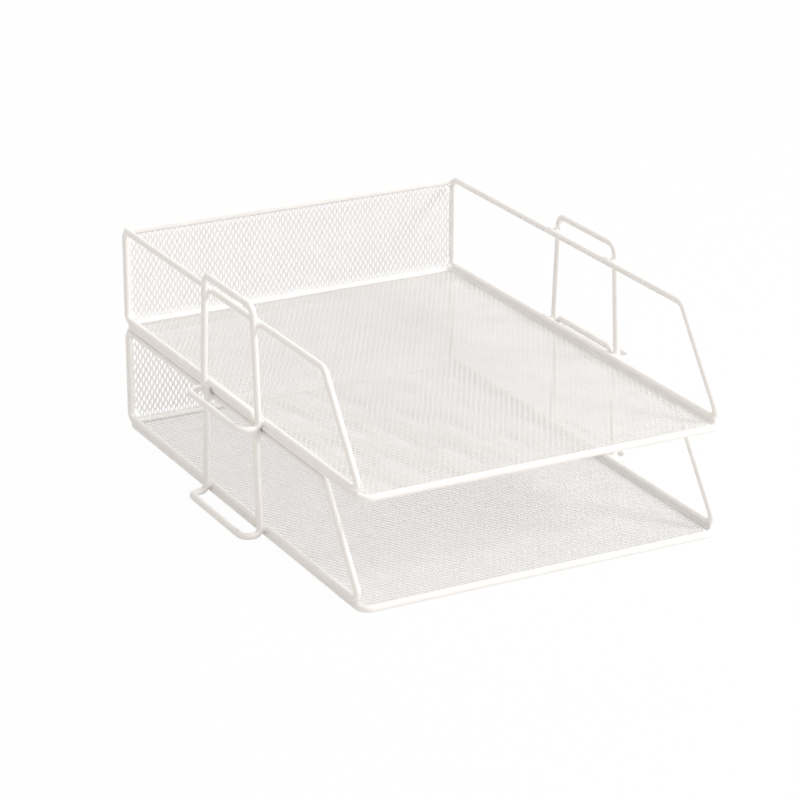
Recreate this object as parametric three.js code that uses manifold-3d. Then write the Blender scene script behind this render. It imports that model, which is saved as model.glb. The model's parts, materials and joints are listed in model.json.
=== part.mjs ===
// Two-tier mesh letter tray, in millimetres.
// +Z is up, +Y points to the back, and the origin is at the middle of the footprint, on the desk.
// Both tiers are the same welded tray. The upper one rests on the top rails of the lower one.

import * as THREE from "three";
import { mergeVertices, toCreasedNormals } from "three/addons/utils/BufferGeometryUtils.js";
import loadManifold from "manifold-3d";

const solids = await loadManifold();
solids.setup();

// Overall size of one tray
const frameWidth = 266;
const frameDepth = 366;
const trayHeight = 74.2;

// Wire and sheet stock
const sideWireDiameter = 4.6;
const loopWireDiameter = 4.6;
const rimWidth = 4.8;
const rimHeight = 4.8;
const rimEdgeRadius = 2;
const rimCornerRadius = 10;
const railSink = 1.2;
const hemThickness = 4.6;
const hemHeight = 5.6;
const meshThickness = 1;
const meshFloorHeight = 2;

// Bends of a side wire, on its centre line
const slopeStart = 4.2;
const slopeRun = 48.5;
const rearTopBend = 6;
const frontTopBend = 8;
const frontBottomBend = 5;
const rearBottomBend = 5;

// Stacking loop, on its centre line
const loopTopWidth = 74;
const loopRiseAboveRail = 11.8;
const loopSetback = 1.25;
const loopTopBend = 7;
const footReach = 12.4;
const footHeelBend = 4.5;
const footToeBend = 7;

// Clearances
const weldGap = 0.3;
const stackGap = 0.3;
const nestClearance = 0.35;

// Diamond lattice of the mesh
const baseDiamondsAcross = 8;
const baseDiamondsDeep = 5;
const backDiamondsAcross = 12;
const backDiamondsHigh = 2;
const strandWidth = 3;
const meshMargin = 1.5;

// Facets
const wireSides = 12;
const degreesPerFacet = 23;
const rimFacetsPerCorner = 5;
const rimFacetsPerEdge = 3;
const outlineFacetsPerCorner = 3;
const smoothEdgeAngle = THREE.MathUtils.degToRad(35);

const paint = { color: 0xf1ebe3, roughness: 0.45, metalness: 0 };
const meshPaint = { color: 0xf4efe8, roughness: 0.5, metalness: 0 };

// Places that follow from the sizes above
const sideWireRadius = sideWireDiameter / 2;
const loopWireRadius = loopWireDiameter / 2;
const sidePlaneX = frameWidth / 2 - sideWireRadius;
const postY = frameDepth / 2 - sideWireRadius;
const frontY = -frameDepth / 2;
const rimOuterX = frameWidth / 2;
const rimRearY = frameDepth / 2;
const bottomRailZ = rimHeight + sideWireRadius - railSink;
const topRailZ = trayHeight - sideWireRadius;
const loopPlaneX = sidePlaneX + sideWireRadius + weldGap + loopWireRadius;
const loopFootZ = loopWireRadius;
const loopTopZ = topRailZ + loopRiseAboveRail;
const stackPitch = trayHeight + stackGap;

// The loop widens downwards, so that the top of the loop below fits between the legs of this one.
const nestHeight = stackPitch + loopFootZ;
const nestShare = (nestHeight - loopFootZ) / (loopTopZ - loopFootZ);
const loopFlare = (loopWireDiameter + nestClearance) / nestShare;
const loopFootWidth = loopTopWidth + 2 * loopFlare;

// Curve through the stations of a bent wire, one ring of a tube for each station
class BentWire extends THREE.Curve {
  constructor(stations) {
    super();
    this.stations = stations;
  }

  station(u) {
    return this.stations[Math.round(u * this.stations.length) % this.stations.length];
  }

  getPointAt(u, target = new THREE.Vector3()) {
    return target.copy(this.station(u).point);
  }

  getTangentAt(u, target = new THREE.Vector3()) {
    return target.copy(this.station(u).tangent);
  }
}

// Rounds one corner of a closed run of straight wire into an arc of stations
function bendStations(before, corner, after, radius) {
  const inward = corner.clone().sub(before).normalize();
  const outward = after.clone().sub(corner).normalize();
  const turn = inward.angleTo(outward);
  const trim = radius * Math.tan(turn / 2);
  const axis = new THREE.Vector3().crossVectors(inward, outward).normalize();
  const start = corner.clone().addScaledVector(inward, -trim);
  const toCentre = new THREE.Vector3().crossVectors(axis, inward);
  const centre = start.clone().addScaledVector(toCentre, radius);
  const steps = Math.max(2, Math.ceil(THREE.MathUtils.radToDeg(turn) / degreesPerFacet));
  const stations = [];
  for (let step = 0; step <= steps; step += 1) {
    const angle = (turn * step) / steps;
    const point = start.clone().sub(centre).applyAxisAngle(axis, angle).add(centre);
    const tangent = inward.clone().applyAxisAngle(axis, angle);
    stations.push({ point, tangent });
  }
  return stations;
}

// Closed loop of round wire through the given corners, each with its own bend radius
function closedWire(corners, wireRadius) {
  const count = corners.length;
  const stations = corners.flatMap((corner, index) => {
    const before = corners[(index + count - 1) % count].at;
    const after = corners[(index + 1) % count].at;
    return bendStations(before, corner.at, after, corner.bend);
  });
  return new THREE.TubeGeometry(new BentWire(stations), stations.length, wireRadius, wireSides, true);
}

// Side wire: bottom rail, rear post, top rail and front slope in one upright plane
function sideWire(side, wireRadius = sideWireRadius) {
  const x = side * sidePlaneX;
  const toeY = frontY + slopeStart;
  return closedWire(
    [
      { at: new THREE.Vector3(x, toeY, bottomRailZ), bend: frontBottomBend },
      { at: new THREE.Vector3(x, postY, bottomRailZ), bend: rearBottomBend },
      { at: new THREE.Vector3(x, postY, topRailZ), bend: rearTopBend },
      { at: new THREE.Vector3(x, toeY + slopeRun, topRailZ), bend: frontTopBend },
    ],
    wireRadius,
  );
}

// Stacking loop: two legs up past the top rail, and a level foot ring bent outwards at the base
function stackingLoop(side) {
  const x = side * loopPlaneX;
  const footX = side * (loopPlaneX + footReach);
  const centreY = -loopSetback;
  const halfTop = loopTopWidth / 2;
  const halfFoot = loopFootWidth / 2;
  return closedWire(
    [
      { at: new THREE.Vector3(x, centreY + halfTop, loopTopZ), bend: loopTopBend },
      { at: new THREE.Vector3(x, centreY - halfTop, loopTopZ), bend: loopTopBend },
      { at: new THREE.Vector3(x, centreY - halfFoot, loopFootZ), bend: footHeelBend },
      { at: new THREE.Vector3(footX, centreY - halfFoot, loopFootZ), bend: footToeBend },
      { at: new THREE.Vector3(footX, centreY + halfFoot, loopFootZ), bend: footToeBend },
      { at: new THREE.Vector3(x, centreY + halfFoot, loopFootZ), bend: footHeelBend },
    ],
    loopWireRadius,
  );
}

// Traces a rectangle with rounded corners, anticlockwise
function traceRoundedRectangle(path, left, front, right, rear, radius) {
  path.moveTo(left + radius, front);
  path.lineTo(right - radius, front);
  path.absarc(right - radius, front + radius, radius, -Math.PI / 2, 0, false);
  path.lineTo(right, rear - radius);
  path.absarc(right - radius, rear - radius, radius, 0, Math.PI / 2, false);
  path.lineTo(left + radius, rear);
  path.absarc(left + radius, rear - radius, radius, Math.PI / 2, Math.PI, false);
  path.lineTo(left, front + radius);
  path.absarc(left + radius, front + radius, radius, Math.PI, Math.PI * 1.5, false);
  return path;
}

// Solid of a closed geometry
function toSolid(geometry) {
  const bare = new THREE.BufferGeometry();
  bare.setAttribute("position", geometry.getAttribute("position"));
  bare.setIndex(geometry.getIndex());
  const merged = mergeVertices(bare);
  const vertProperties = merged.getAttribute("position").array;
  const triVerts = Uint32Array.from(merged.getIndex().array);
  return new solids.Manifold(new solids.Mesh({ numProp: 3, vertProperties, triVerts }));
}

// Geometry of a solid
function toGeometry(solid) {
  const { vertProperties, triVerts } = solid.getMesh();
  const indexed = new THREE.BufferGeometry();
  indexed.setAttribute("position", new THREE.BufferAttribute(vertProperties, 3));
  indexed.setIndex(new THREE.BufferAttribute(triVerts, 1));
  return toCreasedNormals(indexed, smoothEdgeAngle);
}

// Base rim: a ring of round steel bar with its lowest side flat on the desk.
// The bottom rails are welded down into two grooves along its top.
function baseRim() {
  const inset = rimEdgeRadius;
  const outer = traceRoundedRectangle(
    new THREE.Shape(),
    -rimOuterX + inset,
    frontY + inset,
    rimOuterX - inset,
    rimRearY - inset,
    rimCornerRadius - inset,
  );
  const inner = rimWidth - inset;
  outer.holes.push(
    traceRoundedRectangle(
      new THREE.Path(),
      -rimOuterX + inner,
      frontY + inner,
      rimOuterX - inner,
      rimRearY - inner,
      rimCornerRadius - inner,
    ),
  );
  const geometry = new THREE.ExtrudeGeometry(outer, {
    depth: rimHeight - 2 * inset,
    bevelEnabled: true,
    bevelThickness: inset,
    bevelSize: inset,
    bevelSegments: rimFacetsPerEdge,
    curveSegments: rimFacetsPerCorner,
  });
  const ring = toSolid(geometry.translate(0, 0, inset));
  const grooves = [-1, 1].map((side) => toSolid(sideWire(side, sideWireRadius + weldGap)));
  return toGeometry(ring.subtract(grooves[0]).subtract(grooves[1]));
}

// Hem along the top of the back mesh: the sheet's edge rolled into a flat-sided bead
function backTopHem() {
  const halfWidth = hemThickness / 2;
  const section = traceRoundedRectangle(
    new THREE.Shape(),
    -halfWidth,
    trayHeight - hemHeight,
    halfWidth,
    trayHeight,
    halfWidth - 0.01,
  );
  const length = 2 * (sidePlaneX - sideWireRadius - weldGap);
  const geometry = new THREE.ExtrudeGeometry(section, {
    depth: length,
    bevelEnabled: false,
    curveSegments: 4,
  });
  return geometry
    .rotateX(Math.PI / 2)
    .rotateZ(Math.PI / 2)
    .translate(-length / 2, postY, 0);
}

// Prism of one or more flat shapes between two heights
function prism(shapes, low, high) {
  const geometry = new THREE.ExtrudeGeometry(shapes, {
    depth: high - low,
    bevelEnabled: false,
    curveSegments: outlineFacetsPerCorner,
  });
  return toSolid(geometry.translate(0, 0, low));
}

// One diamond, given by its middle and its half width and half height
function diamond(u, v, halfU, halfV) {
  const shape = new THREE.Shape();
  shape.moveTo(u - halfU, v);
  shape.lineTo(u, v - halfV);
  shape.lineTo(u + halfU, v);
  shape.lineTo(u, v + halfV);
  shape.closePath();
  return shape;
}

// Flat expanded sheet of the given outline, lying on its lower face, with a window full of openings:
// staggered rows of diamonds, cut off at the window's edges.
// Each strand between two diamonds has the same width, measured square to the strand.
function piercedSheet(outline, window, across, rows) {
  const { left, front, right, rear } = window;
  const pitchU = (right - left) / across;
  const pitchV = (rear - front) / rows;
  const slant = Math.hypot(pitchU, pitchV);
  const halfU = pitchU / 2 - (strandWidth * slant) / (2 * pitchV);
  const halfV = pitchV / 2 - (strandWidth * slant) / (2 * pitchU);
  const diamonds = [];
  for (let row = 0; row <= 2 * rows; row += 1) {
    for (let column = row % 2; column <= 2 * across; column += 2) {
      const u = left + (pitchU * column) / 2;
      const v = front + (pitchV * row) / 2;
      diamonds.push(diamond(u, v, halfU, halfV));
    }
  }
  const windowShape = new THREE.Shape();
  windowShape.moveTo(left, front);
  windowShape.lineTo(right, front);
  windowShape.lineTo(right, rear);
  windowShape.lineTo(left, rear);
  windowShape.closePath();
  const low = -meshThickness;
  const high = 2 * meshThickness;
  const openings = prism(diamonds, low, high).intersect(prism(windowShape, low, high));
  return toGeometry(prism(outline, 0, meshThickness).subtract(openings));
}

// Base mesh: an expanded sheet inside the rim, at the middle of the rim's height
function baseMesh() {
  const reachX = rimOuterX - rimWidth - weldGap;
  const front = frontY + rimWidth + weldGap;
  const rear = rimRearY - rimWidth - weldGap;
  const outline = traceRoundedRectangle(
    new THREE.Shape(),
    -reachX,
    front,
    reachX,
    rear,
    rimCornerRadius - rimWidth - weldGap,
  );
  const window = {
    left: -reachX + meshMargin,
    front: front + meshMargin,
    right: reachX - meshMargin,
    rear: rear - meshMargin,
  };
  const sheet = piercedSheet(outline, window, baseDiamondsAcross, baseDiamondsDeep);
  return sheet.translate(0, 0, meshFloorHeight);
}

// Back mesh: the same sheet upright between the rear posts, from the rim up to the hem
function backMesh() {
  const reachX = sidePlaneX - sideWireRadius - weldGap;
  const low = rimHeight + weldGap;
  const high = trayHeight - hemHeight - weldGap;
  const outline = new THREE.Shape();
  outline.moveTo(-reachX + rearBottomBend, low);
  outline.lineTo(reachX - rearBottomBend, low);
  outline.lineTo(reachX, low + rearBottomBend);
  outline.lineTo(reachX, high);
  outline.lineTo(-reachX, high);
  outline.lineTo(-reachX, low + rearBottomBend);
  outline.closePath();
  const window = {
    left: -reachX + meshMargin,
    front: low + meshMargin,
    right: reachX - meshMargin,
    rear: high - meshMargin,
  };
  const sheet = piercedSheet(outline, window, backDiamondsAcross, backDiamondsHigh);
  return sheet.rotateX(Math.PI / 2).translate(0, postY + meshThickness / 2, 0);
}

function namedMesh(name, geometry, finish) {
  const mesh = new THREE.Mesh(geometry, new THREE.MeshStandardMaterial(finish));
  mesh.name = name;
  return mesh;
}

// One complete tray, with the tier's name in front of each piece's name
function tray(tier) {
  const group = new THREE.Group();
  group.add(namedMesh(`${tier}_base_rim`, baseRim(), paint));
  group.add(namedMesh(`${tier}_base_mesh`, baseMesh(), meshPaint));
  group.add(namedMesh(`${tier}_back_mesh`, backMesh(), meshPaint));
  group.add(namedMesh(`${tier}_back_top_hem`, backTopHem(), paint));
  group.add(namedMesh(`${tier}_left_side_wire`, sideWire(-1), paint));
  group.add(namedMesh(`${tier}_right_side_wire`, sideWire(1), paint));
  group.add(namedMesh(`${tier}_left_stacking_loop`, stackingLoop(-1), paint));
  group.add(namedMesh(`${tier}_right_stacking_loop`, stackingLoop(1), paint));
  return group;
}

const letterTray = new THREE.Group();
const lowerTray = tray("lower");
const upperTray = tray("upper");
upperTray.position.z = stackPitch;
letterTray.add(lowerTray, upperTray);

export default letterTray;
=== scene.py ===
"""Stacking letter tray: smooth wires, rolled hems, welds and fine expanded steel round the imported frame.

Metres, +Z up, +Y to the back. Run as a script, it builds every piece, the camera and the stage.
"""

import json
import math

import bpy
import numpy as np
from mathutils import Matrix, Vector

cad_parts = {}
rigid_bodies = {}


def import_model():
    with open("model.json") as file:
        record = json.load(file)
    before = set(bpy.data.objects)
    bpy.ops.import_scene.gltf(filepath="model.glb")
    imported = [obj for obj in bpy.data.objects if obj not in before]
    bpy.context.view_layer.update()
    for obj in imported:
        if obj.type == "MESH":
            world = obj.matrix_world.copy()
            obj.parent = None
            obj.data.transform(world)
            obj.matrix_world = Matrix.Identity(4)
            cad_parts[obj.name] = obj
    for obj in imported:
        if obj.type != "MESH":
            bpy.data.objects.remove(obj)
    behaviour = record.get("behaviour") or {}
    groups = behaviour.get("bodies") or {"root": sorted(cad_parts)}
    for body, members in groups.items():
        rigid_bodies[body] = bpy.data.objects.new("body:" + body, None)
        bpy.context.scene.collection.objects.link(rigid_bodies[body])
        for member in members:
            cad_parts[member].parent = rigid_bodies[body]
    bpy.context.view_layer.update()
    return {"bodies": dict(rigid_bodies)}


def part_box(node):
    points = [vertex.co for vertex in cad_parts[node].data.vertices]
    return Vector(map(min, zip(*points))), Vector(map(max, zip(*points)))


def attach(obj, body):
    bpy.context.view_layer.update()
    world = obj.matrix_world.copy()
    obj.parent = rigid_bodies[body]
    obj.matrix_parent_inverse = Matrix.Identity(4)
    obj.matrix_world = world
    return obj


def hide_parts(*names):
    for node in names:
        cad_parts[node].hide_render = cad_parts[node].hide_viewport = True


bl_info = {
    "name": "Stacking letter tray",
    "version": (1, 0, 0),
    "blender": (4, 5, 0),
    "location": "View3D > Sidebar > Letter tray",
    "description": "Builds the wires, hems, welds and expanded steel sheets of a stacking letter tray",
    "category": "Add Mesh",
}

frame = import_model()

# The trays of the stack, by the first word of their bodies' names, and a tray's sides along X
TIERS = tuple(body.removesuffix("_tray") for body in frame["bodies"])
SIDES = (("left", -1.0), ("right", 1.0))

# Distance between two pieces of the frame where the real ones are welded
WELD_GAP = 0.0003

# Edges sharper than this many degrees stay crisp
WIRE_CREASE = 60
HEM_CREASE = 35
SHEET_CREASE = 50

# Powers of the superellipses that the rim and a sheet's plain strip have as their section
RIM_POWER = 2.1
STRIP_POWER = 6

# How far a plain strip's faces stand beyond the steel's own, as a share of the strands' rise
STRIP_SHARE = 1.1


# Shapes


def unit(vectors):
    """Each row divided by its own length."""
    return vectors / np.linalg.norm(vectors, axis=-1, keepdims=True)


def turned(vector, axis, angles):
    """Vector v turned about the unit axis k: v cos a + (k x v) sin a + k (k.v)(1 - cos a)."""
    a = np.asarray(angles)[:, None]
    along = axis * np.dot(axis, vector)
    return vector * np.cos(a) + np.cross(axis, vector) * np.sin(a) + along * (1 - np.cos(a))


def bent_wire(corners, bends, steps=10):
    """Stations of a closed wire: straight runs joined by one arc at each corner.

    An arc of radius r that turns by t starts r tan(t / 2) before its corner. The tangent and the
    normal both turn about the arc's axis, and the twist that a loop out of one plane leaves
    over is given back evenly by length. Returns points, normals and binormals.
    """
    corners = np.asarray(corners, float)
    bends = np.asarray(bends, float)
    run_in = unit(corners - np.roll(corners, 1, axis=0))
    run_out = np.roll(run_in, -1, axis=0)
    turn = np.arccos(np.clip((run_in * run_out).sum(1), -1, 1))
    axis = unit(np.cross(run_in, run_out))
    start = corners - run_in * (bends * np.tan(turn / 2))[:, None]
    centre = start + np.cross(axis, run_in) * bends[:, None]
    points, normals, tangents = [], [], []
    normal = axis[0]
    for k in range(len(corners)):
        angles = np.linspace(0, turn[k], steps)
        points.append(centre[k] + turned(start[k] - centre[k], axis[k], angles))
        normals.append(turned(normal, axis[k], angles))
        tangents.append(turned(run_in[k], axis[k], angles))
        normal = normals[-1][-1]
    points, normals, tangents = map(np.vstack, (points, normals, tangents))
    left_over = math.atan2(
        np.dot(np.cross(normal, normals[0]), tangents[0]), np.dot(normal, normals[0])
    )
    lengths = np.linalg.norm(np.roll(points, -1, axis=0) - points, axis=1)
    share = left_over * (np.cumsum(lengths) - lengths) / lengths.sum()
    across = np.cross(tangents, normals)
    cos, sin = np.cos(share)[:, None], np.sin(share)[:, None]
    return points, normals * cos + across * sin, across * cos - normals * sin


def superellipse(half_a, half_b, power=2.0, count=24):
    """Closed section (a, b) with |a / A|^p + |b / B|^p = 1; power 2 is round, more is squarer."""
    t = np.linspace(0, 2 * math.pi, count, endpoint=False) + math.pi / count
    cos, sin = np.cos(t), np.sin(t)
    a = half_a * np.sign(cos) * np.abs(cos) ** (2 / power)
    b = half_b * np.sign(sin) * np.abs(sin) ** (2 / power)
    return np.column_stack((a, b))


def tube_faces(rows, columns):
    """Quads of a grid that closes on itself both ways, as indices row * columns + column."""
    r, c = np.meshgrid(np.arange(rows), np.arange(columns), indexing="ij")
    r2, c2 = (r + 1) % rows, (c + 1) % columns
    quads = (r * columns + c, r2 * columns + c, r2 * columns + c2, r * columns + c2)
    return np.stack(quads, axis=-1).reshape(-1, 4)


def band_faces(rows, columns):
    """Quads between rows of points that each close on themselves, with the same indices."""
    r, c = np.meshgrid(np.arange(rows - 1), np.arange(columns), indexing="ij")
    c2 = (c + 1) % columns
    quads = (r * columns + c, r * columns + c2, (r + 1) * columns + c2, (r + 1) * columns + c)
    return np.stack(quads, axis=-1).reshape(-1, 4)


def swept_ring(stations, section):
    """Closed tube: every section point (a, b) stands at point + a normal + b binormal."""
    points, normals, binormals = stations
    ring = (
        points[:, None, :]
        + section[None, :, :1] * normals[:, None, :]
        + section[None, :, 1:] * binormals[:, None, :]
    )
    return ring.reshape(-1, 3), tube_faces(len(points), len(section))


def lofted_bar(rings):
    """Bar through a row of rings with equal point counts, with a flat cap of one face at each end."""
    rows, count, _ = rings.shape
    k = np.arange(count)
    caps = np.array([k[::-1], k + (rows - 1) * count])
    return rings.reshape(-1, 3), band_faces(rows, count), caps


def bead(centre, radii, lean, lobes=3, swell=0.06, rings=9, segments=14):
    """Lump of weld metal: an ellipsoid whose radius swells by a few per cent in lobes.

    The radius at latitude p and longitude q is 1 + swell sin(lobes q + lean) cos(p).
    """
    p = np.linspace(-math.pi / 2, math.pi / 2, rings)[1:-1]
    q = np.linspace(0, 2 * math.pi, segments, endpoint=False)
    p, q = np.meshgrid(p, q, indexing="ij")
    radius = 1 + swell * np.sin(lobes * q + lean) * np.cos(p)
    shell = np.stack((np.cos(p) * np.cos(q), np.cos(p) * np.sin(q), np.sin(p)), axis=-1)
    shell = (shell * radius[..., None]).reshape(-1, 3)
    poles = np.array([[0, 0, -1.0], [0, 0, 1.0]])
    vertices = np.vstack((shell, poles)) * np.asarray(radii) + np.asarray(centre)
    k = np.arange(segments)
    k2 = (k + 1) % segments
    south, north = len(shell), len(shell) + 1
    last = len(shell) - segments
    south_fan = np.column_stack((k2, k, np.full(segments, south)))
    north_fan = np.column_stack((last + k, last + k2, np.full(segments, north)))
    return vertices, band_faces(rings - 2, segments), np.vstack((south_fan, north_fan))


def lattice_cell(half_u, half_v, sheet):
    """One six-sided cell round an opening: its corners, its faces, and the walls for cut edges.

    Each outer edge is the middle of a strand, or cuts through a bond at the opening's pointed
    end. Every strand leans the same way: towards +u, w climbs by the rise over its width, and
    falls by the rise from one bond to the next.
    """
    strand, rise = sheet.strand, sheet.rise
    opening, tip = half_u - strand, half_v - sheet.bond / 2
    outer = [
        [half_u - strand / 2, 0, -rise / 2],
        [strand / 2, half_v, rise / 2],
        [-strand / 2, half_v, -rise / 2],
        [strand / 2 - half_u, 0, rise / 2],
        [-strand / 2, -half_v, -rise / 2],
        [strand / 2, -half_v, rise / 2],
    ]
    inner = [[opening, 0, -rise], [0, tip, 0], [-opening, 0, rise], [0, -tip, 0]]
    ring = np.array(outer + inner)
    under = len(ring)
    up = np.array([0, 0, sheet.thickness / 2])
    corners = np.vstack((ring + up, ring - up))

    # Outer corners k and n of each edge, and the inner corners a and b that they are nearest to
    k = np.arange(len(outer))
    n = np.roll(k, -1)
    a = len(outer) + np.array([0, 1, 1, 2, 3, 3])
    b = np.roll(a, -1)
    strands, bonds = a != b, a == b
    quads = np.vstack((
        np.column_stack((k, n, b, a))[strands],
        np.column_stack((a, b, n, k))[strands] + under,
        np.column_stack((a, b, b + under, a + under))[strands],
    ))
    triangles = np.vstack((
        np.column_stack((k, n, a))[bonds],
        np.column_stack((a, n, k))[bonds] + under,
    ))
    return corners, quads, triangles, np.column_stack((k, k + under, n + under, n))


def expanded_lattice(window, sheet):
    """Raised expanded steel as one closed surface in (u, v, w): u the short way, v the long way.

    The slits stand in staggered rows, so the sheet is a tiling of six-sided cells, one round each
    opening. The openings' middles fill the window, at pitches that are fitted to it. Cells at its
    corners are left out, the cut edges get walls, and corners that cells share are merged.
    """
    (left, low), (right, high) = window
    across = 2 * max(1, round((right - left) / sheet.short_way))
    along = 2 * max(1, round((high - low) / sheet.long_way))
    half_u, half_v = (right - left) / across, (high - low) / along
    i, j = np.meshgrid(np.arange(across + 1), np.arange(along + 1), indexing="ij")
    at_corner = ((i == 0) | (i == across)) & ((j == 0) | (j == along))
    present = ((i + j) % 2 == 0) & ~at_corner
    i, j = i[present], j[present]
    middles = np.column_stack((left + i * half_u, low + j * half_v, np.zeros(len(i))))

    corners, quads, triangles, walls = lattice_cell(half_u, half_v, sheet)
    vertices = (middles[:, None] + corners).reshape(-1, 3)
    first = np.arange(len(middles)) * len(corners)
    quads = (first[:, None, None] + quads).reshape(-1, 4)
    triangles = (first[:, None, None] + triangles).reshape(-1, 3)

    # A cell's edge is cut where the neighbour beyond it, so many half pitches away, isn't there
    neighbours = np.array([[1, 1], [0, 2], [-1, 1], [-1, -1], [0, -2], [1, -1]])
    reach = neighbours.max()
    padded = np.pad(present, reach)
    met = padded[i[:, None] + reach + neighbours[:, 0], j[:, None] + reach + neighbours[:, 1]]
    cells, edges = np.nonzero(~met)
    quads = np.vstack((quads, walls[edges] + first[cells][:, None]))
    return merged(vertices, quads, triangles)


def merged(vertices, *faces, steps_per_metre=1e7):
    """Points that round to the same step become one, and the faces follow."""
    grid = np.round(vertices * steps_per_metre).astype(np.int64)
    _, kept, place = np.unique(grid, axis=0, return_index=True, return_inverse=True)
    place = place.reshape(-1)
    return vertices[kept], *(place[kind] for kind in faces)


def add_piece(name, shells, material, crease=WIRE_CREASE):
    """One object at the origin made of closed shells: vertices, then an array for each kind of face.

    A shell whose signed volume, the sum of a.(b x c) / 6 over its triangles, is below zero is
    turned round, so that every face points outwards.
    """
    vertices, faces, count = [], [], 0
    for points, *kinds in shells:
        corners = points - points.mean(0)
        fans = [kind[:, (0, m, m + 1)] for kind in kinds for m in range(1, kind.shape[1] - 1)]
        a, b, c = (corners[np.vstack(fans)[:, m]] for m in range(3))
        step = -1 if (a * np.cross(b, c)).sum() < 0 else 1
        for kind in kinds:
            faces += (kind[:, ::step] + count).tolist()
        vertices.append(points)
        count += len(points)
    mesh = bpy.data.meshes.new(name)
    mesh.from_pydata(np.vstack(vertices).tolist(), [], faces)
    mesh.validate()
    mesh.shade_smooth()
    mesh.set_sharp_from_angle(angle=math.radians(crease))
    mesh.materials.append(material)
    piece = bpy.data.objects.new(name, mesh)
    bpy.context.scene.collection.objects.link(piece)
    return piece


def settle(piece, tier, slot, *nodes):
    """Puts a piece on its tray's body and lets it stand for CAD nodes, which it hides; the slot is not
    used.
    """
    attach(piece, f"{tier}_tray")
    if nodes:
        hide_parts(*nodes)


# Places, read from the frame


def tray_lines(tier, wire):
    """Heights and planes of one tray's wires, from the boxes of its base rim and back hem."""
    rim_low, rim_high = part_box(f"{tier}_base_rim")
    hem_low, hem_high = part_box(f"{tier}_back_top_hem")
    side_radius, loop_radius = wire.side_diameter / 2, wire.loop_diameter / 2
    side_x = rim_high.x - side_radius
    return {
        "front": rim_low.y,
        "slope_foot": rim_low.y + wire.slope_start,
        "post": rim_high.y - side_radius,
        "side": side_x,
        "rim_low": rim_low.z,
        "rim_high": rim_high.z,
        "rim_x": rim_high.x,
        "rim_y": rim_high.y,
        "bottom_rail": rim_high.z + side_radius - wire.rail_sink,
        "top_rail": hem_high.z - side_radius,
        "hem_low": hem_low.z,
        "hem_high": hem_high.z,
        "hem_end": hem_high.x,
        "loop": side_x + side_radius + WELD_GAP + loop_radius,
        "foot": rim_low.z + loop_radius,
    }


def rim_stations(at, wire):
    """Base rim: a rounded rectangle lying level."""
    half = wire.rim_width / 2
    x, front, rear = at["rim_x"] - half, at["front"] + half, at["rim_y"] - half
    z = (at["rim_low"] + at["rim_high"]) / 2
    corners = [(-x, front, z), (x, front, z), (x, rear, z), (-x, rear, z)]
    return bent_wire(corners, (wire.rim_bend - half,) * 4)


def side_wire_stations(at, wire, sign):
    """Side wire: bottom rail, rear post, top rail and front slope, in one upright plane."""
    x = sign * at["side"]
    corners = [
        (x, at["slope_foot"], at["bottom_rail"]),
        (x, at["post"], at["bottom_rail"]),
        (x, at["post"], at["top_rail"]),
        (x, at["slope_foot"] + wire.slope_run, at["top_rail"]),
    ]
    bends = (wire.front_bottom_bend, wire.rear_bottom_bend, wire.rear_top_bend, wire.front_top_bend)
    return bent_wire(corners, bends)


def loop_half_width(at, wire, height):
    """Half the distance between a loop's legs at a height: the legs lean in evenly to the top."""
    top = at["top_rail"] + wire.loop_rise
    share = (top - height) / (top - at["foot"])
    return wire.loop_top_width / 2 + wire.loop_flare * share


def loop_stations(at, wire, sign):
    """Stacking loop: two legs past the top rail, and a level foot ring bent outwards."""
    x = sign * at["loop"]
    toe = sign * (at["loop"] + wire.foot_reach)
    top = at["top_rail"] + wire.loop_rise
    half_top = loop_half_width(at, wire, top)
    half_foot = loop_half_width(at, wire, at["foot"])
    middle = -wire.loop_forward
    corners = [
        (x, middle + half_top, top),
        (x, middle - half_top, top),
        (x, middle - half_foot, at["foot"]),
        (toe, middle - half_foot, at["foot"]),
        (toe, middle + half_foot, at["foot"]),
        (x, middle + half_foot, at["foot"]),
    ]
    bends = (wire.loop_top_bend,) * 2 + (wire.heel_bend,) + (wire.toe_bend,) * 2 + (wire.heel_bend,)
    return bent_wire(corners, bends)


# Finishes

# The coat's clouds: their detail, and the noise values at which they are darkest and lightest
CLOUD_DETAIL = 2.0
CLOUD_DARKEST = 0.35
CLOUD_LIGHTEST = 0.65

# How far the roughness swings with the clouds, and the detail and the depth of the orange peel
ROUGHNESS_SWING = 0.05
PEEL_DETAIL = 3.0
PEEL_DEPTH = 0.0002

# Index of refraction of the coat
COAT_IOR = 1.5


def coat_noise(nodes, links, scale, detail):
    """Noise that stays with the piece, on its own coordinates."""
    place = nodes.new("ShaderNodeTexCoord")
    noise = nodes.new("ShaderNodeTexNoise")
    noise.inputs["Scale"].default_value = scale
    noise.inputs["Detail"].default_value = detail
    links.new(place.outputs["Object"], noise.inputs["Vector"])
    return noise.outputs["Fac"]


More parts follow.
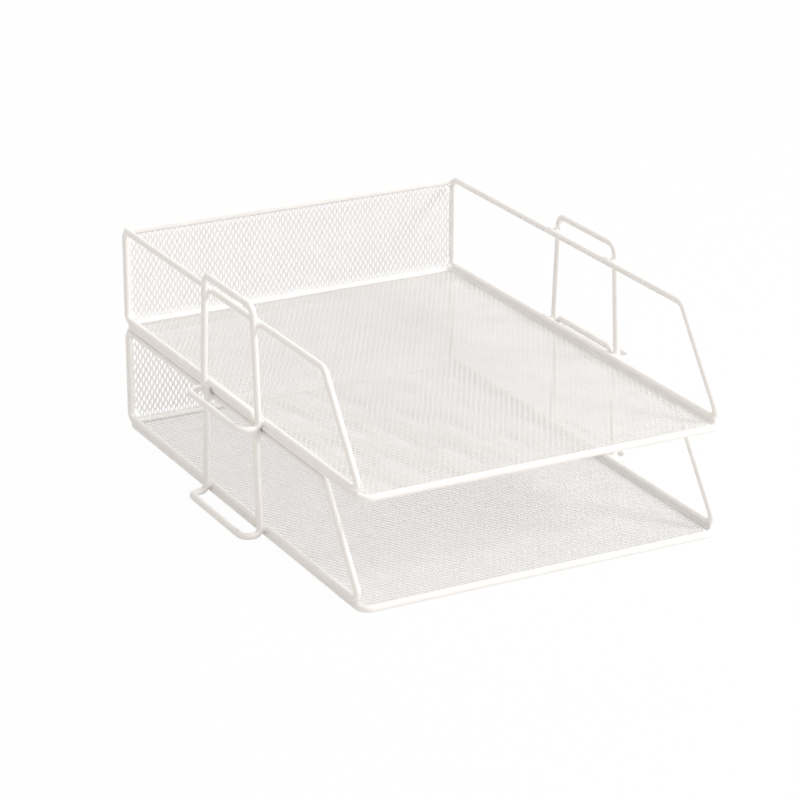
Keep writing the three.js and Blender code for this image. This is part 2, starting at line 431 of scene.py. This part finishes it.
def powder_coat(name, paint, colour):
    """Satin powder coat: orange-peel bump, faint clouding of the colour and of the gloss."""
    material = bpy.data.materials.new(name)
    material.use_nodes = True
    nodes, links = material.node_tree.nodes, material.node_tree.links
    shader = nodes["Principled BSDF"]
    shader.inputs["IOR"].default_value = COAT_IOR
    clouds = coat_noise(nodes, links, paint.cloud_scale, CLOUD_DETAIL)

    tint = nodes.new("ShaderNodeValToRGB")
    dark, light = tint.color_ramp.elements
    dark.position = CLOUD_DARKEST
    light.position = CLOUD_LIGHTEST
    dark.color = [c * (1 - paint.clouding) for c in colour] + [1]
    light.color = list(colour) + [1]
    links.new(clouds, tint.inputs["Fac"])
    links.new(tint.outputs["Color"], shader.inputs["Base Color"])

    gloss = nodes.new("ShaderNodeMapRange")
    gloss.inputs["To Min"].default_value = paint.roughness - ROUGHNESS_SWING
    gloss.inputs["To Max"].default_value = paint.roughness + ROUGHNESS_SWING
    links.new(clouds, gloss.inputs["Value"])
    links.new(gloss.outputs["Result"], shader.inputs["Roughness"])

    bump = nodes.new("ShaderNodeBump")
    bump.inputs["Strength"].default_value = paint.peel_strength
    bump.inputs["Distance"].default_value = PEEL_DEPTH
    links.new(coat_noise(nodes, links, paint.peel_scale, PEEL_DETAIL), bump.inputs["Height"])
    links.new(bump.outputs["Normal"], shader.inputs["Normal"])
    return material


def coat(context, part):
    """Powder coat of the frame or of the sheets, made once and then shared."""
    paint = context.scene.letter_tray_paint
    name = f"{part}_powder_coat"
    # The sheets' colour carries painted light: it is the frame's white, lightened against the shade under
    # the upper tray
    colours = {"frame": paint.frame_colour, "sheet": paint.sheet_colour_with_painted_light}
    return bpy.data.materials.get(name) or powder_coat(name, paint, tuple(colours[part]))


# Settings


def length(name, description, default):
    """A length in metres that a user may change."""
    return bpy.props.FloatProperty(
        name=name, description=description, default=default, min=0.0, unit="LENGTH", precision=5
    )


class LETTERTRAY_PG_wire(bpy.types.PropertyGroup):
    """Sizes of the wires and the base rim."""

    side_diameter: length("Side wire", "Diameter of a side wire", 0.0046)
    loop_diameter: length("Loop wire", "Diameter of a stacking loop's wire", 0.0046)
    rim_width: length("Rim width", "Width of the base rim's section", 0.0048)
    rim_bend: length("Rim corner", "Outer radius of the base rim's corners", 0.010)
    rail_sink: length("Rail sink", "How deep a bottom rail is welded into the rim", 0.0012)
    slope_start: length("Slope start", "Distance from the rim's front to the slope's foot", 0.0042)
    slope_run: length("Slope run", "How far back the front slope leans", 0.0485)
    front_bottom_bend: length("Front bottom bend", "Bend where the slope meets the bottom rail", 0.005)
    rear_bottom_bend: length("Rear bottom bend", "Bend at the foot of the rear post", 0.005)
    rear_top_bend: length("Rear top bend", "Bend at the top of the rear post", 0.006)
    front_top_bend: length("Front top bend", "Bend where the top rail turns down", 0.008)
    loop_top_width: length("Loop top width", "Distance between the legs' middles at the top", 0.074)
    loop_flare: length("Loop flare", "How far each leg leans out down to its foot", 0.00541)
    loop_rise: length("Loop rise", "Height of a loop's top bar above the top rail", 0.0118)
    loop_forward: length("Loop forward", "How far the loops stand in front of the middle", 0.00125)
    loop_top_bend: length("Loop top bend", "Bend at a loop's two upper corners", 0.007)
    foot_reach: length("Foot reach", "How far a foot ring stands out", 0.0124)
    heel_bend: length("Heel bend", "Bend where a leg turns outwards", 0.0045)
    toe_bend: length("Toe bend", "Bend at the foot ring's outer corners", 0.007)


class LETTERTRAY_PG_sheet(bpy.types.PropertyGroup):
    """Sizes of the expanded steel sheets and their hem."""

    short_way: length("Short way", "Pitch of the openings across", 0.00415)
    long_way: length("Long way", "Pitch of the openings lengthwise", 0.0072)
    strand: length("Strand", "Width of a strand, measured the short way", 0.00065)
    bond: length("Bond", "Length of the bond between two openings' pointed ends", 0.0008)
    thickness: length("Thickness", "Thickness of the coated steel", 0.0005)
    rise: length("Rise", "How far a strand leans out of the sheet", 0.00035)
    margin: length("Margin", "Width of the plain strip round a sheet", 0.0007)
    corner: length("Corner", "Bend of the plain strip at a sheet's corners", 0.0042)
    seat: length("Seat", "How far a sheet's edge runs into the wires", 0.0004)
    hem_lap: length("Hem lap", "How far the hem's ends run into the posts", 0.0013)
    hem_rounding: length("Hem rounding", "How far from its ends the hem's edge rounds off", 0.0032)
    hem_lip: length("Hem lip", "Half the thickness of the neck under the hem's bead", 0.0006)
    hem_pinch: length("Hem pinch", "Height at which the bead starts to close in", 0.0011)
    hem_neck: length("Hem neck", "Height of the neck under the bead", 0.00022)


class LETTERTRAY_PG_paint(bpy.types.PropertyGroup):
    """Colour and surface of the powder coat."""

    frame_colour: bpy.props.FloatVectorProperty(
        name="Frame colour", description="Colour of the wires and hems", subtype="COLOR",
        default=(0.955, 0.94, 0.92), min=0.0, max=1.0,
    )
    # The sheets' colour is the frame's white coat, painted lighter and less warm than the frame's: painted
    # light that offsets the shade the sheets stand in under the upper tray, and the warm tint of the fill
    sheet_colour_with_painted_light: bpy.props.FloatVectorProperty(
        name="Sheet colour", description="Colour of the expanded sheets", subtype="COLOR",
        default=(0.965, 0.96, 0.955), min=0.0, max=1.0,
    )
    roughness: bpy.props.FloatProperty(
        name="Roughness", description="Roughness of the coat", default=0.45, min=0.1, max=1.0
    )
    clouding: bpy.props.FloatProperty(
        name="Clouding", description="Unevenness of the colour", default=0.03, min=0.0, max=0.2
    )
    cloud_scale: bpy.props.FloatProperty(
        name="Cloud scale", description="Clouds per metre", default=60.0, min=1.0
    )
    peel_scale: bpy.props.FloatProperty(
        name="Peel scale", description="Orange-peel waves per metre", default=1200.0, min=1.0
    )
    peel_strength: bpy.props.FloatProperty(
        name="Peel strength", description="Strength of the orange peel", default=0.03, min=0.0, max=1.0
    )


class LETTERTRAY_PG_stage(bpy.types.PropertyGroup):
    """Camera, floor and light."""

    azimuth: bpy.props.FloatProperty(
        name="Azimuth", description="Camera's way round the tray", subtype="ANGLE",
        default=math.radians(-27.83),
    )
    elevation: bpy.props.FloatProperty(
        name="Elevation", description="Camera's height above the horizon", subtype="ANGLE",
        default=math.radians(21.08),
    )
    roll: bpy.props.FloatProperty(
        name="Roll", description="Camera's tilt", subtype="ANGLE", default=math.radians(-0.01)
    )
    distance: length("Distance", "From the aim point to the camera", 2.09976)
    aim: bpy.props.FloatVectorProperty(
        name="Aim", description="Point in the middle of the picture", subtype="XYZ", unit="LENGTH",
        default=(-0.02775, -0.03554, 0.0745),
    )
    lens: bpy.props.FloatProperty(
        name="Lens", description="Focal length in millimetres on a 36 mm sensor", default=142.21
    )
    floor_size: length("Floor size", "Side of the square floor", 30.0)
    key_power: bpy.props.FloatProperty(
        name="Key power", description="Power of the lamp on the right", subtype="POWER", default=67.0
    )
    top_power: bpy.props.FloatProperty(
        name="Top power", description="Power of the lamp overhead", subtype="POWER", default=15.0
    )
    lamp_colour: bpy.props.FloatVectorProperty(
        name="Lamp colour", description="Colour of both lamps", subtype="COLOR",
        default=(0.97, 0.985, 1.0), min=0.0, max=1.0,
    )
    fill: bpy.props.FloatVectorProperty(
        name="Fill", description="Colour and strength of the light from all round", subtype="COLOR",
        default=(0.625, 0.59, 0.56), min=0.0, max=2.0,
    )
    floor_colour: bpy.props.FloatVectorProperty(
        name="Floor colour", description="Colour of the floor in light and shadow", subtype="COLOR",
        default=(0.90, 0.895, 0.89), min=0.0, max=1.0,
    )
    floor_white_share: bpy.props.FloatProperty(
        name="Floor white share", description="How much plain white covers the floor where it is seen",
        subtype="FACTOR", default=0.96, min=0.0, max=1.0,
    )


# Pieces


class LETTERTRAY_OT_base_rims(bpy.types.Operator):
    """Round-edged steel rim round each tray's base"""

    bl_idname = "letter_tray.base_rims"
    bl_label = "Base rims"

    def execute(self, context):
        wire = context.scene.letter_tray_wire
        for tier in TIERS:
            at = tray_lines(tier, wire)
            half_height = (at["rim_high"] - at["rim_low"]) / 2
            section = superellipse(half_height, wire.rim_width / 2, RIM_POWER, count=28)
            shell = swept_ring(rim_stations(at, wire), section)
            piece = add_piece(f"{tier}_rounded_rim", [shell], coat(context, "frame"))
            settle(piece, tier, "frame_paint", f"{tier}_base_rim")
        return {"FINISHED"}


class LETTERTRAY_OT_side_wires(bpy.types.Operator):
    """Bent side wire on the left and right of each tray"""

    bl_idname = "letter_tray.side_wires"
    bl_label = "Side wires"

    def execute(self, context):
        wire = context.scene.letter_tray_wire
        section = superellipse(wire.side_diameter / 2, wire.side_diameter / 2)
        for tier in TIERS:
            at = tray_lines(tier, wire)
            for side, sign in SIDES:
                shell = swept_ring(side_wire_stations(at, wire, sign), section)
                piece = add_piece(f"{tier}_{side}_bent_wire", [shell], coat(context, "frame"))
                settle(piece, tier, "frame_paint", f"{tier}_{side}_side_wire")
        return {"FINISHED"}


class LETTERTRAY_OT_stacking_loops(bpy.types.Operator):
    """Stacking loop with its foot ring on the left and right of each tray"""

    bl_idname = "letter_tray.stacking_loops"
    bl_label = "Stacking loops"

    def execute(self, context):
        wire = context.scene.letter_tray_wire
        section = superellipse(wire.loop_diameter / 2, wire.loop_diameter / 2)
        for tier in TIERS:
            at = tray_lines(tier, wire)
            for side, sign in SIDES:
                shell = swept_ring(loop_stations(at, wire, sign), section)
                piece = add_piece(f"{tier}_{side}_loop_wire", [shell], coat(context, "frame"))
                settle(piece, tier, "frame_paint", f"{tier}_{side}_stacking_loop")
        return {"FINISHED"}


class LETTERTRAY_OT_back_hems(bpy.types.Operator):
    """Rolled hem along the top of each back sheet"""

    bl_idname = "letter_tray.back_hems"
    bl_label = "Back hems"

    def execute(self, context):
        wire, sheet = context.scene.letter_tray_wire, context.scene.letter_tray_sheet
        for tier in TIERS:
            bar = rolled_hem(tier, tray_lines(tier, wire), wire, sheet)
            piece = add_piece(f"{tier}_rolled_hem", [bar], coat(context, "frame"), HEM_CREASE)
            settle(piece, tier, "frame_paint", f"{tier}_back_top_hem")
        return {"FINISHED"}


def rolled_hem(tier, at, wire, sheet, steps=8):
    """Hem between the rear posts, its upper rear edge rounded off at both ends into their bends.

    At an end no point stands farther from the bend's centre than the bend's outer radius. Inwards
    from there that limit climbs along a quarter ellipse until the whole section stands free: at
    the share d of the rounding length it has done sqrt(1 - (1 - d) ^ 2) of its climb.
    """
    low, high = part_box(f"{tier}_back_top_hem")
    section = hem_section((high.y - low.y) / 2, high.z - low.z, sheet)
    centre = np.array([at["post"] - wire.rear_top_bend, at["top_rail"] - wire.rear_top_bend])
    offsets = section + ((low.y + high.y) / 2, low.z) - centre
    reach = np.linalg.norm(offsets, axis=1)
    outer = wire.rear_top_bend + wire.side_diameter / 2
    turn = np.linspace(0, math.pi / 2, steps)
    limits = outer + (reach.max() - outer) * np.sin(turn)
    limits = np.concatenate((limits, limits[::-1]))
    ends = at["hem_end"] + sheet.hem_lap - sheet.hem_rounding * (1 - np.cos(turn))
    x = np.concatenate((-ends, ends[::-1]))
    shrink = np.minimum(1, limits[:, None] / reach)
    rings = np.empty((*shrink.shape, 3))
    rings[..., 0] = x[:, None]
    rings[..., 1:] = centre + offsets * shrink[..., None]
    return lofted_bar(rings)


def hem_section(half, height, sheet, crown_steps=17, curl_steps=6):
    """Section of a rolled edge: a round bead on a flat neck that holds the sheet.

    The bead is a half circle above and straight down both sides. From the pinch height down, a
    quarter ellipse on each side closes it onto the neck.
    """
    lip, pinch, neck = sheet.hem_lip, sheet.hem_pinch, sheet.hem_neck
    t = np.linspace(0, math.pi, crown_steps)
    crown = np.column_stack((half * np.cos(t), height - half + half * np.sin(t)))
    q = np.linspace(0, math.pi / 2, curl_steps)
    curl = np.column_stack((-lip - (half - lip) * np.cos(q), pinch - (pinch - neck) * np.sin(q)))
    foot = np.array([[-lip, 0.0], [lip, 0.0]])
    return np.vstack((crown, curl, foot, curl[::-1] * (-1, 1)))


class LETTERTRAY_OT_sheets(bpy.types.Operator):
    """Expanded steel sheet in the base and across the back of each tray"""

    bl_idname = "letter_tray.sheets"
    bl_label = "Expanded sheets"

    def execute(self, context):
        sheet = context.scene.letter_tray_sheet
        material = coat(context, "sheet")
        for tier in TIERS:
            for part, upright in (("base", False), ("back", True)):
                shells = framed_lattice(f"{tier}_{part}_mesh", sheet, upright)
                piece = add_piece(f"{tier}_{part}_expanded_sheet", shells, material, SHEET_CREASE)
                settle(piece, tier, "mesh_paint", f"{tier}_{part}_mesh")
        return {"FINISHED"}


def framed_lattice(node, sheet, upright):
    """Lattice and plain strip of one sheet, in its node's box and a seat wider all round.

    On the sheet u runs across the tray, v along the slits, and w out of it. A level sheet has v to
    the back and w up, an upright one has v up and w to the front.
    """
    low, high = (np.array(corner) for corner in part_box(node))
    slits, out = (2, 1) if upright else (1, 2)
    depth = (low[out] + high[out]) / 2

    def placed(points):
        u, v, w = points.T
        return np.column_stack((u, depth - w, v) if upright else (u, v, depth + w))

    # The openings' middles keep half a pitch from the edges, so that no cell reaches past them
    left, bottom = low[[0, slits]] - sheet.seat
    right, top = high[[0, slits]] + sheet.seat
    inset_u = max(sheet.margin, sheet.short_way / 2)
    inset_v = max(sheet.margin, sheet.long_way / 2)
    window = (left + inset_u, bottom + inset_v), (right - inset_u, top - inset_v)
    lattice, *faces = expanded_lattice(window, sheet)

    half = sheet.margin / 2
    left, bottom, right, top = left + half, bottom + half, right - half, top - half
    corners = np.array([(left, bottom, 0), (right, bottom, 0), (right, top, 0), (left, top, 0)])
    strip = swept_ring(bent_wire(placed(corners), (sheet.corner,) * 4), strip_section(sheet))
    return [(placed(lattice), *faces), strip]


def strip_section(sheet):
    """Section of the plain strip: a little thicker than the leaning strands, with eased edges."""
    half_thickness = sheet.thickness / 2 + sheet.rise * STRIP_SHARE
    return superellipse(half_thickness, sheet.margin / 2, STRIP_POWER, count=12)


# Welds

# Half sizes of the beads: across the tray, front to back, and up
LEG_BEAD = (0.0013, 0.0031, 0.0027)
HEM_BEAD = (0.0009, 0.0019, 0.0024)
CORNER_BEAD = (0.0024, 0.0022, 0.0021)
SHEET_BEAD = (0.0010, 0.0010, 0.0030)

# Scale of a leg's bead on the top rail and on the bottom rail
TOP_RAIL_SCALE = 1.15
BOTTOM_RAIL_SCALE = 0.9

# Where the corner bead lies: outwards from the post's inner side, forwards of the post's
# middle, and down from the hem's top
CORNER_OUT = 0.0012
CORNER_FORWARDS = 0.0008
CORNER_DOWN = 0.0026

# Heights of the beads down the back sheet's edge, as shares of the way from bottom rail to hem
SHEET_BEAD_SHARES = (0.25, 0.55, 0.85)

# How the lobes of the beads turn, by height or by share, so that beads on one wire differ
LEAN_PER_METRE = 900
LEAN_PER_SHARE = 7

# Half width and half height of the seam under a bottom rail
SEAM_HALVES = (0.00205, 0.0010)


class LETTERTRAY_OT_welds(bpy.types.Operator):
    """Weld beads where wires cross, and the filled seam between each bottom rail and the rim"""

    bl_idname = "letter_tray.welds"
    bl_label = "Welds"

    def execute(self, context):
        wire = context.scene.letter_tray_wire
        for tier in TIERS:
            at = tray_lines(tier, wire)
            beads = []
            for _, sign in SIDES:
                beads += loop_welds(at, wire, sign)
                beads += post_welds(at, wire, sign)
                beads.append(rail_seam(at, wire, sign))
            piece = add_piece(f"{tier}_weld_beads", beads, coat(context, "frame"))
            settle(piece, tier, "frame_paint")
        return {"FINISHED"}


def loop_welds(at, wire, sign):
    """Beads between a loop's legs and the top rail, the bottom rail and the rim they lie against."""
    x = sign * (at["side"] + wire.side_diameter / 2 + WELD_GAP / 2)
    rails = ((at["top_rail"], TOP_RAIL_SCALE), (at["bottom_rail"], BOTTOM_RAIL_SCALE))
    beads = []
    for end in (-1.0, 1.0):
        for height, scale in rails:
            y = -wire.loop_forward + end * loop_half_width(at, wire, height)
            lean = height * LEAN_PER_METRE + end
            beads.append(bead((x, y, height), np.multiply(LEG_BEAD, scale), lean))
    return beads


def post_welds(at, wire, sign):
    """Beads between a rear post and the hem's end, in the corner above it, and down the back sheet."""
    x = sign * (at["side"] - wire.side_diameter / 2)
    y = at["post"]
    middle = (at["hem_low"] + at["hem_high"]) / 2
    corner = (x + sign * CORNER_OUT, y - CORNER_FORWARDS, at["hem_high"] - CORNER_DOWN)
    beads = [bead((x, y, middle), HEM_BEAD, sign), bead(corner, CORNER_BEAD, sign)]
    span = at["hem_low"] - at["bottom_rail"]
    for share in SHEET_BEAD_SHARES:
        height = at["bottom_rail"] + span * share
        beads.append(bead((x, y, height), SHEET_BEAD, share * LEAN_PER_SHARE))
    return beads


def rail_seam(at, wire, sign):
    """Weld and coat that fill the crease where a bottom rail lies along the rim."""
    section = superellipse(*SEAM_HALVES, count=16)
    rings = np.empty((2, len(section), 3))
    rings[..., 0] = sign * at["side"] + section[:, 0]
    rings[..., 1] = [[at["front"] + wire.rim_bend], [at["post"] - wire.rear_bottom_bend]]
    rings[..., 2] = at["rim_high"] - wire.rail_sink / 2 + section[:, 1]
    return lofted_bar(rings)


# Stage

# The camera's sensor in millimetres, and how far the camera sees in metres
SENSOR_WIDTH = 36.0
CAMERA_REACH = 100.0

# Lamps: name, place, width, and the setting that holds the power
LAMPS = (
    ("key_lamp", (2.4, -1.8, 2.0), 1.0, "key_power"),
    ("top_lamp", (0.2, -0.3, 2.6), 2.0, "top_power"),
)

# Point that the lamps look at, halfway up the stack
LAMP_AIM = (0, 0, 0.08)

WHITE = (1, 1, 1, 1)


def camera_matrix(stage):
    """Camera turned by azimuth about Z, tipped down by elevation, rolled, and backed off the aim."""
    turn = (
        Matrix.Rotation(stage.azimuth, 4, "Z")
        @ Matrix.Rotation(math.pi / 2 - stage.elevation, 4, "X")
        @ Matrix.Rotation(stage.roll, 4, "Z")
    )
    back = turn.to_3x3() @ Vector((0, 0, stage.distance))
    return Matrix.Translation(Vector(stage.aim) + back) @ turn


def seen_directly(nodes, links):
    """1 for camera, glossy and transmission rays, 0 for the light that falls on the object."""
    path = nodes.new("ShaderNodeLightPath")
    seen = path.outputs["Is Camera Ray"]
    for ray in ("Is Glossy Ray", "Is Transmission Ray"):
        either = nodes.new("ShaderNodeMath")
        either.operation = "MAXIMUM"
        links.new(seen, either.inputs[0])
        links.new(path.outputs[ray], either.inputs[1])
        seen = either.outputs["Value"]
    return seen


def floor_finish(stage):
    """Floor that is nearly plain white where it is seen, with a trace of its shaded colour left."""
    material = bpy.data.materials.new("white_floor")
    material.use_nodes = True
    nodes, links = material.node_tree.nodes, material.node_tree.links
    nodes.clear()
    output = nodes.new("ShaderNodeOutputMaterial")
    matt = nodes.new("ShaderNodeBsdfDiffuse")
    matt.inputs["Color"].default_value = list(stage.floor_colour) + [1]
    glow = nodes.new("ShaderNodeEmission")
    glow.inputs["Color"].default_value = WHITE
    glow.inputs["Strength"].default_value = 1.0
    share = nodes.new("ShaderNodeMath")
    share.operation = "MULTIPLY"
    share.inputs[1].default_value = stage.floor_white_share
    links.new(seen_directly(nodes, links), share.inputs[0])
    blend = nodes.new("ShaderNodeMixShader")
    links.new(share.outputs["Value"], blend.inputs["Fac"])
    links.new(matt.outputs["BSDF"], blend.inputs[1])
    links.new(glow.outputs["Emission"], blend.inputs[2])
    links.new(blend.outputs["Shader"], output.inputs["Surface"])
    return material


class LETTERTRAY_OT_stage(bpy.types.Operator):
    """Camera, white floor, soft lamps and white surroundings"""

    bl_idname = "letter_tray.stage"
    bl_label = "Stage"

    def execute(self, context):
        stage = context.scene.letter_tray_stage
        self.add_camera(context, stage)
        self.add_floor(context, stage)
        for name, place, width, power in LAMPS:
            self.add_lamp(context, name, place, width, getattr(stage, power), stage.lamp_colour)
        self.add_world(context, stage)
        context.scene.view_settings.view_transform = "Standard"
        return {"FINISHED"}

    def add_camera(self, context, stage):
        data = bpy.data.cameras.new("photo_camera")
        data.lens = stage.lens
        data.sensor_width = SENSOR_WIDTH
        data.clip_end = CAMERA_REACH
        camera = bpy.data.objects.new("photo_camera", data)
        context.scene.collection.objects.link(camera)
        camera.matrix_world = camera_matrix(stage)
        context.scene.camera = camera

    def add_floor(self, context, stage):
        half = stage.floor_size / 2
        mesh = bpy.data.meshes.new("floor")
        corners = [(-half, -half, 0), (half, -half, 0), (half, half, 0), (-half, half, 0)]
        mesh.from_pydata(corners, [], [(0, 1, 2, 3)])
        mesh.materials.append(floor_finish(stage))
        floor = bpy.data.objects.new("floor", mesh)
        context.scene.collection.objects.link(floor)

    def add_lamp(self, context, name, place, width, power, colour):
        data = bpy.data.lights.new(name, "AREA")
        data.shape = "DISK"
        data.size = width
        data.energy = power
        data.color = colour
        lamp = bpy.data.objects.new(name, data)
        context.scene.collection.objects.link(lamp)
        turn = (Vector(LAMP_AIM) - Vector(place)).to_track_quat("-Z", "Y")
        lamp.matrix_world = Matrix.Translation(place) @ turn.to_matrix().to_4x4()

    def add_world(self, context, stage):
        world = bpy.data.worlds.new("studio")
        context.scene.world = world
        world.use_nodes = True
        nodes, links = world.node_tree.nodes, world.node_tree.links
        nodes.clear()
        output = nodes.new("ShaderNodeOutputWorld")
        fill = nodes.new("ShaderNodeBackground")
        fill.inputs["Color"].default_value = list(stage.fill) + [1]
        white = nodes.new("ShaderNodeBackground")
        white.inputs["Color"].default_value = WHITE
        blend = nodes.new("ShaderNodeMixShader")
        links.new(seen_directly(nodes, links), blend.inputs["Fac"])
        links.new(fill.outputs["Background"], blend.inputs[1])
        links.new(white.outputs["Background"], blend.inputs[2])
        links.new(blend.outputs["Shader"], output.inputs["Surface"])


# Add-on


class LETTERTRAY_PT_sidebar(bpy.types.Panel):
    """Settings of the wires, sheets, coat and stage, and a button for each step"""

    bl_label = "Letter tray"
    bl_idname = "LETTERTRAY_PT_sidebar"
    bl_space_type = "VIEW_3D"
    bl_region_type = "UI"
    bl_category = "Letter tray"

    def draw(self, context):
        layout = self.layout
        for group in ("wire", "sheet", "paint", "stage"):
            settings = getattr(context.scene, f"letter_tray_{group}")
            box = layout.box()
            box.label(text=group.capitalize())
            for name in settings.__annotations__:
                box.prop(settings, name)
        for operator in OPERATORS:
            layout.operator(operator.bl_idname)


OPERATORS = (
    LETTERTRAY_OT_stage,
    LETTERTRAY_OT_base_rims,
    LETTERTRAY_OT_side_wires,
    LETTERTRAY_OT_stacking_loops,
    LETTERTRAY_OT_back_hems,
    LETTERTRAY_OT_sheets,
    LETTERTRAY_OT_welds,
)
GROUPS = {
    "letter_tray_wire": LETTERTRAY_PG_wire,
    "letter_tray_sheet": LETTERTRAY_PG_sheet,
    "letter_tray_paint": LETTERTRAY_PG_paint,
    "letter_tray_stage": LETTERTRAY_PG_stage,
}


def register():
    for name, group in GROUPS.items():
        bpy.utils.register_class(group)
        setattr(bpy.types.Scene, name, bpy.props.PointerProperty(type=group))
    for kind in OPERATORS + (LETTERTRAY_PT_sidebar,):
        bpy.utils.register_class(kind)


def unregister():
    for kind in reversed(OPERATORS + (LETTERTRAY_PT_sidebar,)):
        bpy.utils.unregister_class(kind)
    for name, group in GROUPS.items():
        delattr(bpy.types.Scene, name)
        bpy.utils.unregister_class(group)


def main():
    """Builds everything in order."""
    register()
    bpy.ops.letter_tray.stage()
    bpy.ops.letter_tray.base_rims()
    bpy.ops.letter_tray.side_wires()
    bpy.ops.letter_tray.stacking_loops()
    bpy.ops.letter_tray.back_hems()
    bpy.ops.letter_tray.sheets()
    bpy.ops.letter_tray.welds()


if __name__ == "__main__":
    main()
